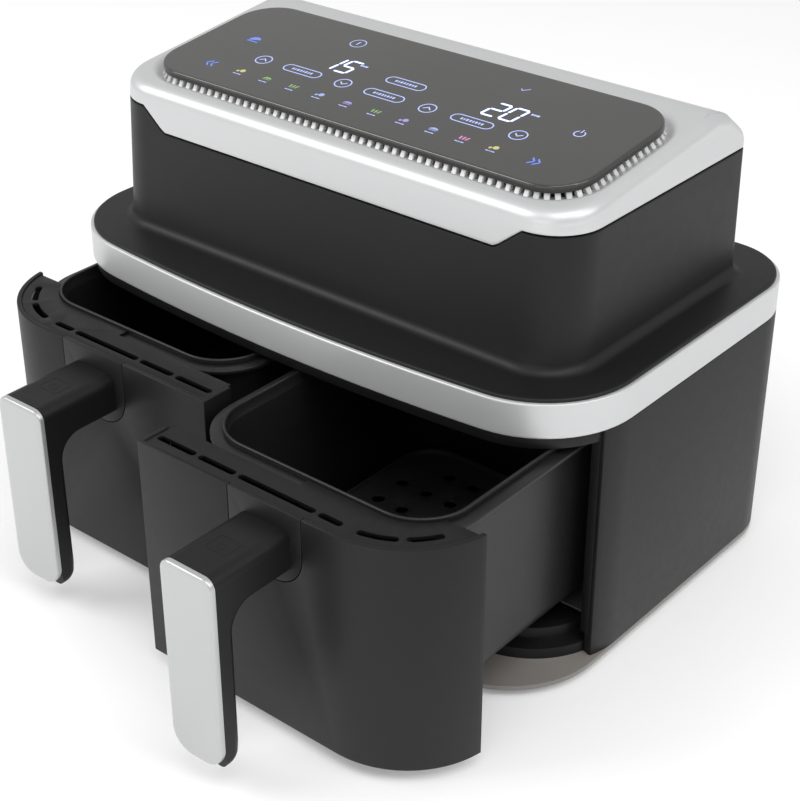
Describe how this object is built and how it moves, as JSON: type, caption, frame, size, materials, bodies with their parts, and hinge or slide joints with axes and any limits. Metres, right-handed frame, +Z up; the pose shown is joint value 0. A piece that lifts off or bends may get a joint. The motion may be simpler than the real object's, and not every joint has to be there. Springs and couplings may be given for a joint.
{
  "type": "air fryer",
  "caption": "Dual-drawer air fryer: stepped matt charcoal body, silver band and top rim, touch panel on a sloping deck, and pull-out drawers with silver-faced handles and crisper plates",
  "frame": {"origin": "centre of the bottom of the overall box, with both drawers part-open as at rest, on the surface the feet stand on", "axes": "+X to the right when facing the front, +Y to the rear, +Z up; the drawers pull out along -Y"},
  "size_m": [0.4, 0.4282, 0.2923],
  "materials": {
    "charcoal": "fine matte charcoal moulding",
    "soft_black": "soft black moulding",
    "silver_cover": "satin silver paint",
    "nonstick": "dark grey non-stick coating",
    "inner_steel": "plain inner steel",
    "glass_dark": "smoked touch glass",
    "rubber_black": "moulded rubber",
    "circuit_green": "coated circuit board",
    "display_pale": "light window",
    "heater_steel": "heat-tinted tube",
    "screw_steel": "plated steel",
    "motor_steel": "rolled steel",
    "fan_alloy": "pressed alloy",
    "liner_steel": "dull coated steel"
  },
  "bodies": {
    "body": {"base_pan": "soft_black", "rubber_feet": "rubber_black", "outer_shell": "charcoal", "front_bezel": "soft_black", "trim_band": "silver_cover", "upper_cover": "charcoal", "top_trim": "silver_cover", "panel_tray": "soft_black", "vent_grille": "soft_black", "control_glass": "glass_dark", "control_board": "circuit_green", "display_modules": "display_pale", "touch_springs": "screw_steel", "power_board": "circuit_green", "board_bracket": "inner_steel", "exhaust_grilles": "soft_black", "cord_gland": "rubber_black", "case_screws": "screw_steel", "temperature_probes": "screw_steel", "thermal_cutouts": "display_pale", "drawer_sensors": "soft_black", "cavity_liner_left": "liner_steel", "cavity_liner_right": "liner_steel", "runner_rails_left": "soft_black", "runner_rails_right": "soft_black", "heat_dome_left": "inner_steel", "heat_dome_right": "inner_steel", "heater_left": "heater_steel", "heater_right": "heater_steel", "heater_guard_left": "screw_steel", "heater_guard_right": "screw_steel", "motor_left": "motor_steel", "motor_right": "motor_steel", "motor_bracket_left": "inner_steel", "motor_bracket_right": "inner_steel"},
    "drawer_left": {"drawer_front_left": "charcoal", "top_frame_left": "soft_black", "drawer_tub_left": "nonstick", "handle_insert_left": "charcoal", "handle_left": "charcoal", "handle_facing_left": "silver_cover", "handle_screws_left": "screw_steel"},
    "crisper_left": {"crisper_plate_left": "nonstick", "plate_bumpers_left": "rubber_black"},
    "fan_left": {"hot_fan_left": "fan_alloy", "cooling_fan_left": "soft_black", "fan_shaft_left": "screw_steel"},
    "drawer_right": {"drawer_front_right": "charcoal", "top_frame_right": "soft_black", "drawer_tub_right": "nonstick", "handle_insert_right": "charcoal", "handle_right": "charcoal", "handle_facing_right": "silver_cover", "handle_screws_right": "screw_steel"},
    "crisper_right": {"crisper_plate_right": "nonstick", "plate_bumpers_right": "rubber_black"},
    "fan_right": {"hot_fan_right": "fan_alloy", "cooling_fan_right": "soft_black", "fan_shaft_right": "screw_steel"}
  },
  "joints": [
    {"name": "drawer_left_slide", "type": "slide", "parent": "body", "child": "drawer_left", "axis": [0, -1, 0], "range_m": [-0.053, 0.182]},
    {"name": "crisper_left_lift", "type": "slide", "parent": "drawer_left", "child": "crisper_left", "axis": [0, 0, 1], "range_m": [0, 0.08]},
    {"name": "fan_left_spin", "type": "hinge", "parent": "body", "child": "fan_left", "pos_m": [-0.088, 0.08215, 0.19], "axis": [0, 0, 1], "continuous": true},
    {"name": "drawer_right_slide", "type": "slide", "parent": "body", "child": "drawer_right", "axis": [0, -1, 0], "range_m": [-0.105, 0.13]},
    {"name": "crisper_right_lift", "type": "slide", "parent": "drawer_right", "child": "crisper_right", "axis": [0, 0, 1], "range_m": [0, 0.08]},
    {"name": "fan_right_spin", "type": "hinge", "parent": "body", "child": "fan_right", "pos_m": [0.088, 0.08215, 0.19], "axis": [0, 0, 1], "continuous": true}
  ]
}
